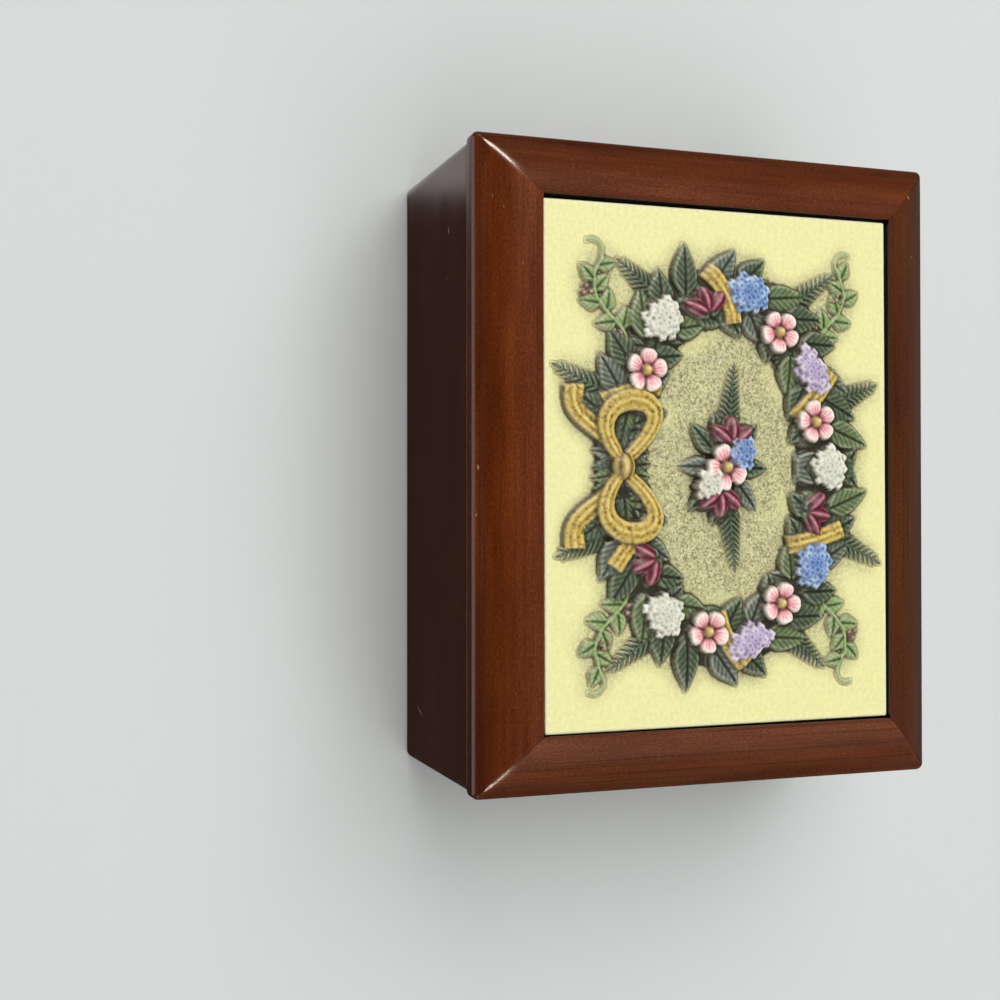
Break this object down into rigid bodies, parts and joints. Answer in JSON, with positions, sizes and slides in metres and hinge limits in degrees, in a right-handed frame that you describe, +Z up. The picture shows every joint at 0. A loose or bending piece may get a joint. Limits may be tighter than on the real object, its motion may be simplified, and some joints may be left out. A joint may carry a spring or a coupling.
{
  "type": "wooden jewelry box",
  "caption": "Small stained wooden jewelry box with a lift-off lid: a mitred frame round a painted floral relief tile.",
  "frame": {"origin": "on the table, under the middle of the box's bounding box", "axes": "+X to the right along the long side as the front is faced, +Y to the back, +Z up"},
  "size_m": [0.144, 0.114, 0.0627],
  "materials": {
    "mahogany_rail": "red-brown stained wood under satin lacquer",
    "mahogany_board": "dark red-brown stained wood under satin lacquer",
    "plain_board": "plain sanded board",
    "painted_resin": "cast resin relief, painted by hand, with a dark wash in the hollows"
  },
  "bodies": {
    "root": {"body_front_board": "mahogany_board", "body_back_board": "mahogany_board", "body_left_board": "mahogany_board", "body_right_board": "mahogany_board", "lid_front_rail": "mahogany_rail", "lid_back_rail": "mahogany_rail", "lid_left_rail": "mahogany_rail", "lid_right_rail": "mahogany_rail", "bottom_board": "plain_board", "lid_panel": "plain_board", "relief_tile": "painted_resin"}
  },
  "joints": []
}
